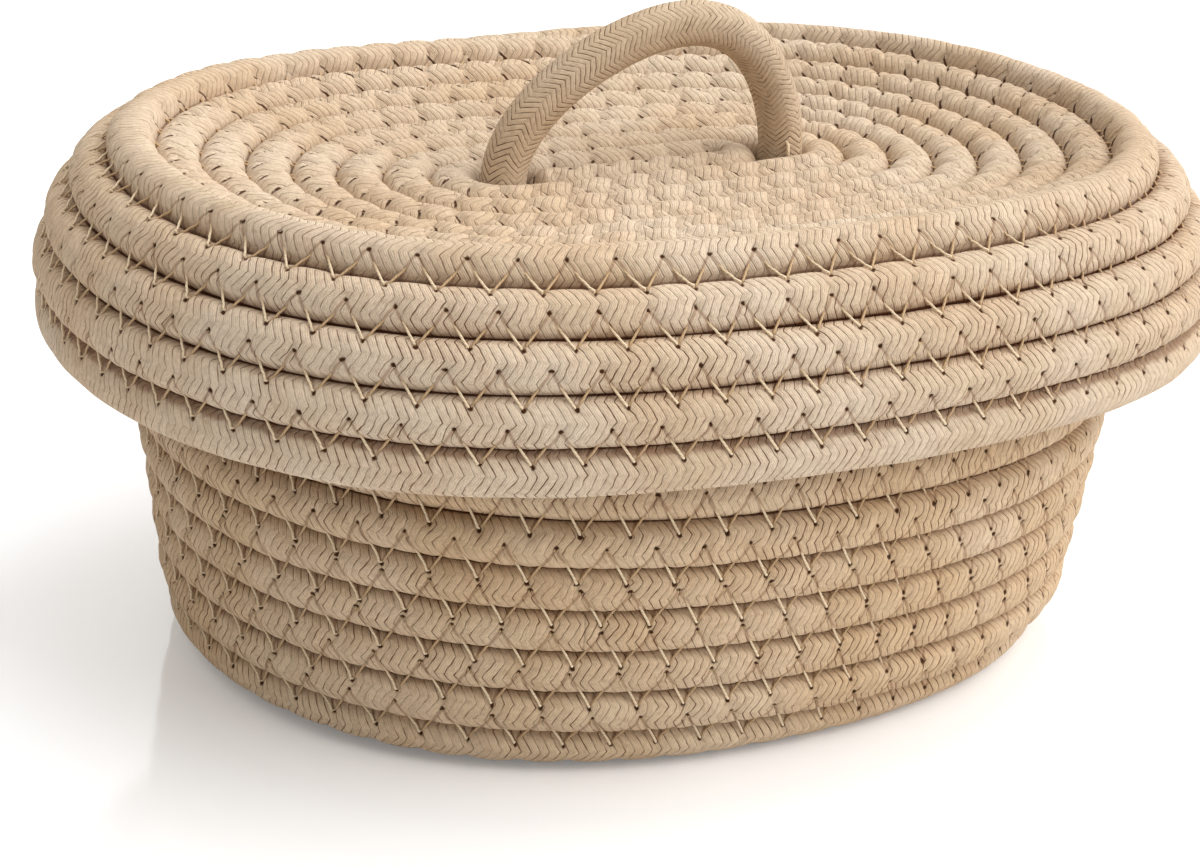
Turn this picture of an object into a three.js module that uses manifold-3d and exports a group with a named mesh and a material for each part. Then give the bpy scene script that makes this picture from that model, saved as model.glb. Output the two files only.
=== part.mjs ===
import * as THREE from 'three';
import Module from 'manifold-3d';

// Oval rope basket with a lift-off rope lid and a rope handle.
// All sizes are millimetres, +Z is up, the long side of the oval lies along X.

// The cord that both coils are sewn from, and how closely its turns lie in basket and lid.
const cordRadius = 5.45;
const basketPitch = 11.3;
const lidPitch = 11.1;
const stepsPerTurn = 24;
const cordSides = 6;

// The oval is measured this finely, and its steps are evenly spread at this distance from its
// middle stretch.
const ovalSteps = 1440;
const evenDistance = 60;

// A basket stands on the underside of its base, which is pressed flat by this much.
const baseFlat = 0.2 * cordRadius;

// Basket: half the straight stretch that the oval is wound around, low down and at the rim,
// and how much wider than round the oval is across, low down and at the rim.
const baseStretch = 31;
const rimStretch = 25.5;
const baseBulge = 0.1;
const rimBulge = 0.06;
const heelStart = 73.5;
const heelRadius = 12;
const bellyRadius = 94;
const bellyHeight = 58;
const rimRadius = 91.5;
const wallHeight = 102;
const basketTurns = 15.58;
const heelSteps = 12;

// Lid: the same for its oval, how far its four rounded corners are filled out, and the bends of
// its section, as distance from the stretch and height above the middle run: dished panel, raised
// ridge, shoulder, and the flaring skirt.
const lidStretch = 37.8;
const lidBulge = 0.055;
const lidFullness = 0.025;
const lidTurns = 11.62;
const lidSection = [
  [0, 0],
  [44, 0.3],
  [64, 2.8],
  [78, 5.9],
  [89.4, 10.8],
  [97.9, 3.8],
  [103.9, -5.3],
  [107.1, -15.7],
  [107, -26.8],
];
// The lid's cord steps outwards mostly at the back, so that its turns look level in front.
const lidBackStep = 0.95;

// The small turn that joins the straight middle run of a coil to its first oval turn.
const middleTurnSteps = 8;

// Handle: one cord through the two slots between the lid's middle run and its first turn.
const handleRadius = 5.5;
const handleSides = 10;
const handleRise = 36.5;
const handleFoot = 3;
// How far the top of the arch is pushed to the right, and how much more its left side leans.
const handleLean = 10;
const leanSkew = 0.4;
const tailBend = 6.2;
const tailLength = 20;
const flexLength = 7;
const slotClearance = 0.6;
const bendSteps = 5;
const archSteps = 28;
const archRings = 28;
const tailRings = 12;
const rootRings = 2;
// The legs stand beside the middle run, this share of the way from the oval's long axis to it.
const legShare = 2 / 3;

// What is left free where one piece rests on another.
const touchGap = 0.3;

// The block under the ground that cuts the base flat.
const groundReach = 400;
const groundDepth = 50;

const rope = '#cdb291';

/** Evenly spread stations around an oval, with the direction in which it grows there. */
function ovalStations(stretch, bulge) {
  const fine = [];
  const across = bulge * evenDistance;
  for (let i = 0; i <= ovalSteps; i += 1) {
    const angle = (i / ovalSteps) * 2 * Math.PI;
    const nx = across * Math.cos(angle);
    const ny = stretch * Math.sin(angle);
    const length = Math.hypot(nx, ny);
    const station = { core: Math.cos(angle), side: Math.sin(angle), nx: nx / length, ny: ny / length };
    station.x = stretch * station.core + evenDistance * station.nx;
    station.y = across * station.side + evenDistance * station.ny;
    const before = i === 0 ? { ...station, run: 0 } : fine[i - 1];
    station.run = before.run + Math.hypot(station.x - before.x, station.y - before.y);
    fine.push(station);
  }
  const total = fine[ovalSteps].run;
  const stations = [];
  for (let k = 0; k < stepsPerTurn; k += 1) {
    const wanted = (k / stepsPerTurn) * total;
    stations.push(fine.find((station) => station.run >= wanted));
  }
  return stations;
}

/** A bent line in the plane of distance and height, read by the length along it. */
function sectionLine(points) {
  const runs = [0];
  for (let i = 1; i < points.length; i += 1) {
    runs.push(runs[i - 1] + Math.hypot(points[i][0] - points[i - 1][0], points[i][1] - points[i - 1][1]));
  }
  return (s) => {
    let i = 1;
    while (i < points.length - 1 && s > runs[i]) i += 1;
    const f = (s - runs[i - 1]) / (runs[i] - runs[i - 1]);
    return [
      points[i - 1][0] + f * (points[i][0] - points[i - 1][0]),
      points[i - 1][1] + f * (points[i][1] - points[i - 1][1]),
    ];
  };
}

/**
 * A closed tube through the given centres. Each ring of points starts at the side named in outs and
 * lies square to the way of the cord, which is read from the neighbours unless ways gives it.
 */
function tube(centres, outs, radius, sides, ways = null) {
  const points = [];
  const faces = [];
  const last = centres.length - 1;
  for (let i = 0; i <= last; i += 1) {
    const ahead = centres[Math.min(i + 1, last)].clone().sub(centres[i]);
    const behind = centres[i].clone().sub(centres[Math.max(i - 1, 0)]);
    const along = ways ? ways[i] : ahead.normalize().add(behind.normalize()).normalize();
    const out = outs[i].clone().addScaledVector(along, -outs[i].dot(along)).normalize();
    const side = new THREE.Vector3().crossVectors(along, out);
    for (let k = 0; k < sides; k += 1) {
      const angle = (k / sides) * 2 * Math.PI;
      points.push(
        centres[i]
          .clone()
          .addScaledVector(out, radius * Math.cos(angle))
          .addScaledVector(side, radius * Math.sin(angle)),
      );
    }
  }
  for (let i = 0; i < last; i += 1) {
    for (let k = 0; k < sides; k += 1) {
      const a = i * sides + k;
      const b = i * sides + ((k + 1) % sides);
      faces.push(a, b, b + sides, a, b + sides, a + sides);
    }
  }
  for (let k = 1; k < sides - 1; k += 1) {
    faces.push(0, k + 1, k);
    const end = last * sides;
    faces.push(end, end + k, end + k + 1);
  }
  const geometry = new THREE.BufferGeometry();
  geometry.setAttribute('position', new THREE.Float32BufferAttribute(points.flatMap((p) => p.toArray()), 3));
  geometry.setIndex(faces);
  return { geometry, points, sides };
}

/** The least distance between points of one turn and points of later turns, on the faces too. */
function leastGap(coil) {
  const rings = coil.points.length / coil.sides;
  const marks = [];
  const stepsApart = 5;
  for (let i = 0; i < rings - 1; i += 1) {
    for (const along of [0, 1 / 3, 2 / 3]) {
      const ring = [];
      for (let k = 0; k < coil.sides; k += 1) {
        for (const around of [0, 0.5]) {
          const next = (k + 1) % coil.sides;
          const near = coil.points[i * coil.sides + k]
            .clone()
            .lerp(coil.points[i * coil.sides + next], around);
          const far = coil.points[(i + 1) * coil.sides + k]
            .clone()
            .lerp(coil.points[(i + 1) * coil.sides + next], around);
          ring.push(near.lerp(far, along));
        }
      }
      marks.push({ at: i + along, ring });
    }
  }
  let least = Infinity;
  for (let i = 0; i < marks.length; i += 1) {
    for (let j = i + 1; j < marks.length; j += 1) {
      if (marks[j].at - marks[i].at < stepsApart) continue;
      if (marks[i].ring[0].distanceTo(marks[j].ring[0]) > 6 * cordRadius) continue;
      for (const p of marks[i].ring) {
        for (const q of marks[j].ring) least = Math.min(least, p.distanceTo(q));
      }
    }
  }
  return least;
}

const wasm = await Module();
wasm.setup();

/** A solid for cutting, made from an indexed geometry. */
function solid(geometry) {
  const plain = geometry.clone();
  return new wasm.Manifold(
    new wasm.Mesh({
      numProp: 3,
      vertProperties: new Float32Array(plain.getAttribute('position').array),
      triVerts: new Uint32Array(plain.getIndex().array),
    }),
  );
}

/** The geometry of a solid. */
function surface(body) {
  const mesh = body.getMesh();
  const geometry = new THREE.BufferGeometry();
  geometry.setAttribute('position', new THREE.BufferAttribute(new Float32Array(mesh.vertProperties), 3));
  geometry.setIndex(new THREE.BufferAttribute(new Uint32Array(mesh.triVerts), 1));
  return geometry;
}

/** A box between two corners, with each corner stored once so that it can be cut with. */
function boxBetween(low, high) {
  const corners = [];
  for (const z of [low[2], high[2]]) {
    corners.push(low[0], low[1], z, high[0], low[1], z, high[0], high[1], z, low[0], high[1], z);
  }
  const geometry = new THREE.BufferGeometry();
  geometry.setAttribute('position', new THREE.Float32BufferAttribute(corners, 3));
  geometry.setIndex([
    0, 2, 1, 0, 3, 2, 4, 5, 6, 4, 6, 7, 0, 1, 5, 0, 5, 4, 1, 2, 6, 1, 6, 5, 2, 3, 7, 2, 7, 6, 3, 0, 4, 3, 4, 7,
  ]);
  return geometry;
}

/** How many turns the cord has stepped outwards, evenly but for the share it steps at the back. */
function growth(turns, backStep) {
  const whole = Math.floor(turns);
  const behind = Math.max(2 * (turns - whole) - 1, 0);
  const stepped = whole + behind * behind * (3 - 2 * behind);
  return turns + backStep * (stepped - turns);
}

/** The place on a section line that lies one pitch further than another, measured straight. */
function onePitchOn(line, s, pitch) {
  const [r, z] = line(s);
  let next = s + pitch;
  let missing = pitch;
  while (Math.abs(missing) > 1e-6) {
    const [r2, z2] = line(next);
    missing = pitch - Math.hypot(r2 - r, z2 - z);
    next += missing;
  }
  return next;
}

/** How far from the stretch the first turn passes the left end, so that a cord fits inside it. */
function firstDistance(spec) {
  const besides = growth(0.25, spec.backStep) + growth(-0.25, spec.backStep);
  return spec.pitch / (1 + spec.bulge(0)) - (spec.pitch / 2) * besides;
}

/**
 * Winds a cord as one unbroken tube: a straight middle run, a half circle back, then turns around
 * both, each one pitch outside the last. The first quarter turn passes the front, and mirror = -1
 * winds it the other way round.
 */
function wind(spec) {
  const stations = ovalStations(spec.stretch(0), spec.bulge(0));
  const first = -stepsPerTurn / 4;
  const last = Math.round(spec.turns * stepsPerTurn);
  const runs = new Map();
  for (let step = first; step <= last + stepsPerTurn; step += 1) {
    const inner = step - stepsPerTurn;
    const s = firstDistance(spec) + spec.pitch * growth(step / stepsPerTurn, spec.backStep);
    runs.set(step, inner < first ? s : onePitchOn(spec.line, runs.get(inner), spec.pitch));
  }
  const centres = [];
  const outs = [];
  for (let step = first; step <= last; step += 1) {
    const turned = (step + stepsPerTurn / 2 + stepsPerTurn) % stepsPerTurn;
    const station = stations[turned];
    const [r, z] = spec.line(runs.get(step));
    const [r1, z1] = spec.line(runs.get(Math.max(step - stepsPerTurn, first)));
    const [r2, z2] = spec.line(runs.get(step + stepsPerTurn));
    const full = r * (1 + spec.fullness * (2 * station.nx * station.ny) ** 2);
    centres.push(
      new THREE.Vector3(
        spec.mirror * (spec.stretch(z) * station.core + full * station.nx),
        spec.bulge(z) * r * station.side + full * station.ny,
        z,
      ),
    );
    const slope = Math.atan2(z2 - z1, r2 - r1);
    const level = spec.facing * Math.sin(slope);
    outs.push(new THREE.Vector3(spec.mirror * level * station.nx, level * station.ny, -spec.facing * Math.cos(slope)));
  }
  const backRun = centres[0].y;
  const frontRun = centres[stepsPerTurn / 2].y;
  const middleRun = (backRun + frontRun) / 2;
  const turnRadius = (backRun - middleRun) / 2;
  const turnX = spec.middle - cordRadius - turnRadius;
  const middle = [];
  for (const x of [-spec.middle, -spec.middle / 3]) {
    middle.push(new THREE.Vector3(spec.mirror * x, middleRun, 0));
  }
  for (let i = 0; i <= middleTurnSteps; i += 1) {
    const angle = -Math.PI / 2 + (i / middleTurnSteps) * Math.PI;
    const x = turnX + turnRadius * Math.cos(angle);
    const y = middleRun + turnRadius + turnRadius * Math.sin(angle);
    middle.push(new THREE.Vector3(spec.mirror * x, y, 0));
  }
  const middleOuts = middle.map(() => new THREE.Vector3(0, 0, -spec.facing));
  const coil = tube(middle.concat(centres), middleOuts.concat(outs), cordRadius, cordSides);
  return { ...coil, middleRun };
}

// Basket coil: its base winds outwards, turns up through the heel and climbs the wall.
const wallLean = Math.atan2(bellyRadius - heelStart - heelRadius, bellyHeight - heelRadius);
const basketSection = [[0, 0], [heelStart, 0]];
for (let i = 1; i <= heelSteps; i += 1) {
  const angle = (i / heelSteps) * (Math.PI / 2 - wallLean);
  basketSection.push([heelStart + heelRadius * Math.sin(angle), heelRadius * (1 - Math.cos(angle))]);
}
basketSection.push([bellyRadius, bellyHeight], [rimRadius, wallHeight], [rimRadius, 2 * wallHeight]);
const basketCoil = wind({
  line: sectionLine(basketSection),
  stretch: (z) => baseStretch + ((rimStretch - baseStretch) * z) / wallHeight,
  bulge: (z) => baseBulge + ((rimBulge - baseBulge) * z) / wallHeight,
  fullness: 0,
  pitch: basketPitch,
  facing: 1,
  mirror: -1,
  backStep: 0,
  turns: basketTurns,
  middle: baseStretch,
});

// Lid coil: its middle run ends short of the two handle legs, which its first turn passes around.
const lidSpec = {
  line: sectionLine(lidSection),
  stretch: () => lidStretch,
  bulge: () => lidBulge,
  fullness: lidFullness,
  pitch: lidPitch,
  facing: -1,
  mirror: 1,
  backStep: lidBackStep,
  turns: lidTurns,
};
const legX = lidStretch + firstDistance(lidSpec) - cordRadius - slotClearance - handleRadius;
lidSpec.middle = legX - handleRadius - slotClearance;
const lidCoil = wind(lidSpec);
const legY = lidCoil.middleRun * legShare;

// Both coils are wound at height nought. The basket goes up until its flat underside stands on the
// ground, and the lid comes down on the basket's rim until only the touching gap is left.
const ground = boxBetween([-groundReach, -groundReach, -groundDepth], [groundReach, groundReach, 0]);
const basketSolid = solid(basketCoil.geometry).translate([0, 0, cordRadius - baseFlat]).subtract(solid(ground));
const lidSolid = solid(lidCoil.geometry);
let lidHeight = 2 * wallHeight;
let lidFall = wallHeight;
while (lidFall > 0.001) {
  lidFall /= 2;
  const clear = basketSolid.minGap(lidSolid.translate([0, 0, lidHeight - lidFall]), 2 * touchGap) > touchGap;
  if (clear) lidHeight -= lidFall;
}

// Handle: an arch over the lid whose legs go down through the slots and fold inwards under it.
const footHeight = lidHeight + handleFoot;
const tailHeight = lidHeight - cordRadius - touchGap - handleRadius;

/** Centre line of the handle from the end of its right tail over the arch to the end of its left tail. */
function handleLine() {
  const bendX = legX - tailBend;
  const foot = [[bendX - tailLength, tailHeight], [bendX - tailLength / 2, tailHeight]];
  for (let i = 0; i <= bendSteps; i += 1) {
    const angle = (i / bendSteps) * (Math.PI / 2);
    foot.push([bendX + tailBend * Math.sin(angle), tailHeight + tailBend * (1 - Math.cos(angle))]);
  }
  const arch = [];
  for (let i = 0; i <= archSteps; i += 1) {
    const angle = (i / archSteps) * Math.PI;
    const lean = handleLean * Math.sin(angle) ** 2 * (1 - leanSkew * Math.cos(angle));
    arch.push([legX * Math.cos(angle) + lean, footHeight + handleRise * Math.sin(angle)]);
  }
  return [...foot, ...arch, ...foot.map(([x, z]) => [-x, z]).reverse()];
}
const handlePath = new THREE.CatmullRomCurve3(
  handleLine().map(([x, z]) => new THREE.Vector3(x, legY, z)),
  false,
  'centripetal',
);
handlePath.arcLengthDivisions = 2000;
const handleLength = handlePath.getLength();

/** The share of the handle's length, looked for from 0 or 1, at which it first rises to a height. */
function shareAtHeight(height, end) {
  let share = end;
  while (handlePath.getPointAt(share).z < height) share += end === 0 ? 0.0005 : -0.0005;
  return share;
}

/** A stretch of the handle's cord between two shares of its length. */
function handleStretch(from, to, steps) {
  const centres = [];
  const outs = [];
  const ways = [];
  for (let i = 0; i <= steps; i += 1) {
    const share = from + ((to - from) * i) / steps;
    centres.push(handlePath.getPointAt(share));
    ways.push(handlePath.getTangentAt(share));
    outs.push(new THREE.Vector3(0, 1, 0));
  }
  return tube(centres, outs, handleRadius, handleSides, ways).geometry;
}
const hingeHeight = lidHeight + cordRadius;
console.log('lid panel at', lidHeight.toFixed(3), 'and handle hinge at', hingeHeight.toFixed(3), 'mm');
const [rightLow, leftLow] = [0, 1].map((end) => shareAtHeight(hingeHeight - flexLength / 2, end));
const [rightHigh, leftHigh] = [0, 1].map((end) => shareAtHeight(hingeHeight + flexLength / 2, end));
const gapShare = touchGap / handleLength;

/** A mesh with its own rope material. */
function piece(name, geometry) {
  const mesh = new THREE.Mesh(
    geometry,
    new THREE.MeshStandardMaterial({ color: rope, roughness: 0.9, metalness: 0 }),
  );
  mesh.name = name;
  mesh.material.name = 'cotton_rope';
  return mesh;
}

console.log('least gap of the basket coil, mm:', leastGap(basketCoil).toFixed(3));
console.log('least gap of the lid coil, mm:', leastGap(lidCoil).toFixed(3));

const object = new THREE.Group();
object.name = 'lidded_rope_basket';
object.add(piece('basket_rope_coil', surface(basketSolid)));
object.add(piece('lid_rope_coil', surface(lidSolid.translate([0, 0, lidHeight]))));
object.add(piece('handle_arch', handleStretch(rightHigh + gapShare, leftHigh - gapShare, archRings)));
object.add(piece('handle_root_right', handleStretch(rightLow, rightHigh, rootRings)));
object.add(piece('handle_root_left', handleStretch(leftHigh, leftLow, rootRings)));
object.add(piece('handle_tail_right', handleStretch(0, rightLow - gapShare, tailRings)));
object.add(piece('handle_tail_left', handleStretch(leftLow + gapShare, 1, tailRings)));

export default object;
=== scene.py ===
"""Lidded rope basket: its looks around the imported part. Metres, +Z up, front towards -Y."""

import math

import bmesh
import bpy
import numpy as np
from mathutils import Matrix, Vector


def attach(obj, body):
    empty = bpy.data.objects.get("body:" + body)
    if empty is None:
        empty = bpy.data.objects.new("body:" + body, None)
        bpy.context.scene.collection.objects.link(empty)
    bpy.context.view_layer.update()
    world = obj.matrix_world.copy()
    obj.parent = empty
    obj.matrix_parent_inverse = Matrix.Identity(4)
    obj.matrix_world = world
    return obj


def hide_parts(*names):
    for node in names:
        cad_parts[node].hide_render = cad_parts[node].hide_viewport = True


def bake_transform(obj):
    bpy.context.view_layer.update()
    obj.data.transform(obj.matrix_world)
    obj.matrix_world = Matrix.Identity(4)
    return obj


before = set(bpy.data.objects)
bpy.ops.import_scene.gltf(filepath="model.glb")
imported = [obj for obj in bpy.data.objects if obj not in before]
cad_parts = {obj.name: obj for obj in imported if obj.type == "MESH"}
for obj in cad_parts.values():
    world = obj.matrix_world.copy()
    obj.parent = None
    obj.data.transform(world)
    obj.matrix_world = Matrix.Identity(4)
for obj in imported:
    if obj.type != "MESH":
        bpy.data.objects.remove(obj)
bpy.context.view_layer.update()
scene = bpy.context.scene
scene.view_settings.view_transform = "Standard"


# Table top
# A wide, glossy white board that the basket stands on. To the camera it looks a little lighter
# than it lights the basket, which gives the photograph's white ground and keeps the shadow.

TABLE_SIZE = 12.0
TABLE_COLOUR = (0.93, 0.94, 0.955, 1)
TABLE_ROUGHNESS = 0.1
TABLE_GLOSS = 1.6
TABLE_LIFT = 0.16


class Wire:
    """One output of a material's nodes. Arithmetic on it adds Math nodes, and a bare one starts a line."""

    def __init__(self, tree, socket=None):
        self.tree = tree
        self.socket = socket

    def add(self, kind, settings, values, output=0):
        """Adds one node: its settings first, then the value or link of each named socket."""
        node = self.tree.nodes.new("ShaderNode" + kind)
        for key, value in settings.items():
            setattr(node, key, value)
        for key, value in values.items():
            if isinstance(value, Wire):
                self.tree.links.new(value.socket, node.inputs[key])
            else:
                node.inputs[key].default_value = value
        return Wire(self.tree, node.outputs[output])

    def sum(self, operation, first, second=0.0):
        return self.add("Math", {"operation": operation}, {0: first, 1: second})

    def __add__(self, other):
        return self.sum("ADD", self, other)

    def __sub__(self, other):
        return self.sum("SUBTRACT", self, other)

    def __rsub__(self, other):
        return self.sum("SUBTRACT", other, self)

    def __mul__(self, other):
        return self.sum("MULTIPLY", self, other)

    def __pow__(self, other):
        return self.sum("POWER", self, other)

    __radd__ = __add__
    __rmul__ = __mul__

    def between(self, low, high):
        """0 below low, 1 above high, and smooth between them."""
        smooth = {"interpolation_type": "SMOOTHSTEP"}
        return self.add("MapRange", smooth, {"Value": self, "From Min": low, "From Max": high})

    def mixed(self, colour, other):
        """A colour that turns into another as this goes from 0 to 1."""
        return self.add("Mix", {"data_type": "RGBA"}, {0: self, 6: colour, 7: other}, output=2)

    def feed(self, node, name):
        """Links this to a socket of a node that was there already."""
        self.tree.links.new(self.socket, node.inputs[name])


table_form = bmesh.new()
bmesh.ops.create_grid(table_form, x_segments=1, y_segments=1, size=TABLE_SIZE / 2)
table_mesh = bpy.data.meshes.new("table_top")
table_form.to_mesh(table_mesh)
table_form.free()
table_top = bpy.data.objects.new("table_top", table_mesh)
scene.collection.objects.link(table_top)

table_paint = bpy.data.materials.new("glossy_white")
table_paint.use_nodes = True
table_shader = table_paint.node_tree.nodes["Principled BSDF"]
table_shader.inputs["Base Color"].default_value = TABLE_COLOUR
table_shader.inputs["Roughness"].default_value = TABLE_ROUGHNESS
table_shader.inputs["IOR"].default_value = TABLE_GLOSS
table_shader.inputs["Emission Strength"].default_value = TABLE_LIFT
table_wires = Wire(table_paint.node_tree)
table_wires.add("LightPath", {}, {}, output="Is Camera Ray").feed(table_shader, "Emission Color")
table_mesh.materials.append(table_paint)


# Studio light
# Soft, slightly warm light from all around, a broad lamp high on the right and a broader one above
# the back. The camera and the table's gloss see plain white instead of the warm surround.

SURROUND_COLOUR = (1.0, 0.965, 0.91, 1)
SURROUND_STRENGTH = 0.33
LAMP_COLOUR = (1.0, 1.0, 0.99)

world = bpy.data.worlds.new("studio")
world.use_nodes = True
scene.world = world
surround = world.node_tree.nodes["Background"]
surround.inputs["Color"].default_value = SURROUND_COLOUR
surround.inputs["Strength"].default_value = SURROUND_STRENGTH
world_wires = Wire(world.node_tree)
surround_light = Wire(world.node_tree, surround.outputs[0])
white_light = world_wires.add("Background", {}, {"Color": (1, 1, 1, 1), "Strength": 1.0})
camera_ray = world_wires.add("LightPath", {}, {}, output="Is Camera Ray")
glossy_ray = world_wires.add("LightPath", {}, {}, output="Is Glossy Ray")
white_seen = world_wires.sum("MAXIMUM", camera_ray, glossy_ray)
shown = world_wires.add("MixShader", {}, {0: white_seen, 1: surround_light, 2: white_light})
shown.feed(world.node_tree.nodes["World Output"], "Surface")


def seen_from(azimuth, elevation):
    """The way towards an azimuth, counted from the front towards the right, and a height, in degrees."""
    around = math.radians(azimuth)
    above = math.radians(elevation)
    level = math.cos(above)
    return Vector((math.sin(around) * level, -math.cos(around) * level, math.sin(above)))


def lamp(name, azimuth, elevation, strength, softness):
    """A far lamp that shines from an azimuth and a height, as broad as its softness in degrees."""
    light = bpy.data.lights.new(name, "SUN")
    light.energy = strength
    light.angle = math.radians(softness)
    light.color = LAMP_COLOUR
    holder = bpy.data.objects.new(name, light)
    holder.rotation_euler = seen_from(azimuth, elevation).to_track_quat("Z", "Y").to_euler()
    scene.collection.objects.link(holder)


lamp("high_right_lamp", azimuth=68, elevation=41, strength=3.2, softness=85)
lamp("top_back_lamp", azimuth=150, elevation=78, strength=1.4, softness=110)


# Camera
# A long lens that looks down on the basket from its left front. Its place, its slight roll and the
# shift of its frame were fitted to the seams and outlines of the basket in the photograph.

VIEW_DISTANCE = 0.7222
VIEW_TARGET = Vector((-0.00014, 0, 0.04727))
VIEW_ROLL = math.radians(3.02)
PHOTO_WIDTH = 1200
SHIFT_PIXELS_ACROSS = -26.9
SHIFT_PIXELS_UP = -7.4

lens = bpy.data.cameras.new("long_lens")
lens.sensor_width = 36
lens.lens = 83.23
lens.shift_x = SHIFT_PIXELS_ACROSS / PHOTO_WIDTH
lens.shift_y = SHIFT_PIXELS_UP / PHOTO_WIDTH
lens.clip_end = 50
camera = bpy.data.objects.new("long_lens", lens)
backwards = seen_from(azimuth=-29.21, elevation=21.82)
level_right = Vector((0, 0, 1)).cross(backwards).normalized()
level_up = backwards.cross(level_right)
right = level_right * math.cos(VIEW_ROLL) + level_up * math.sin(VIEW_ROLL)
up = level_up * math.cos(VIEW_ROLL) - level_right * math.sin(VIEW_ROLL)
turned = Matrix((right, up, backwards)).transposed().to_4x4()
camera.matrix_world = Matrix.Translation(VIEW_TARGET + backwards * VIEW_DISTANCE) @ turned
scene.collection.objects.link(camera)
scene.camera = camera


# Basket rope
# One length of braided cotton rope, 11 mm thick, wound as an oval spiral: the base from the middle
# outwards, round the heel, and up the wall. Its turns are drawn together by the zigzag thread.

# The cord of the solids, and the distance from the oval's stretch at which its steps are even.
CAD_RADIUS = 0.00545
EVEN_DISTANCE = 0.060

# Before its first turn, which starts at the back, a coil has a straight run through the middle, a
# small turn and a straight way back, numbered here as turns. The run starts this much late, which
# leaves the slot open beside the handle's left leg.
MIDDLE_RUN = -3.0
SMALL_TURN = -2.0
WAY_BACK = -1.0
FIRST_TURN = -0.25
SLOT_SHOWING = 0.0016

# How finely the oval, each turn and the three first stretches are laid out.
OVAL_POINTS = 2881
POINTS_PER_TURN = 900
RUN_POINTS = 119
BEND_POINTS = 40
BACK_POINTS = 58

# The skin of the rope: its rings, the fullness of its section, and how many rings a piece has.
RING_STEP = 0.0008
ROPE_SIDES = 32
ROPE_SQUARENESS = 2.45
PIECE_RINGS = 3000
END_ROUNDING = 0.004

# One zigzag of the seam thread, and the rope's usual pitch. Where a seam is unsewn, its count of
# stitches is held between two needle holes, and the middle run is unsewn for a share of a stitch.
STITCH_LENGTH = 0.0107
ROPE_PITCH = 0.0112
HELD = 0.25
RUN_UNSEWN = 0.3

# What the thread presses into the rope, as depth and spread: a furrow under each leg inside a
# broad hollow, and at each needle hole a pit inside a broad dent.
FURROW = (0.00026, 0.0007)
HOLLOW = (0.00018, 0.0021)
PIT = (0.0007, 0.0008)
DENT = (0.00014, 0.0024)

# How sharply, per turn, the panel's harder sewing ends. It deepens the furrows and hollows by these
# shares, and takes this share off the pits.
PANEL_EDGE = 5
PANEL_FURROW = 1.8
PANEL_HOLLOW = 1.5
PANEL_PIT = 0.6

# Two ropes meet this far past half their pitch. The rope swells past that and wavers every 9 mm.
OVERLAP = 0.00003
SWELLING = 0.00022
WAVER = 0.00009
WAVER_STEP = 0.009
LONGEST_ROPE = 20


def reach_along(points):
    """How far along a line each of its points lies."""
    return np.concatenate([[0], np.cumsum(np.linalg.norm(np.diff(points, axis=0), axis=1))])


def read_along(places, reach, values):
    """The three values of each place along a line, between those of its points."""
    return np.stack([np.interp(places, reach, values[:, k]) for k in range(3)], -1)


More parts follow.
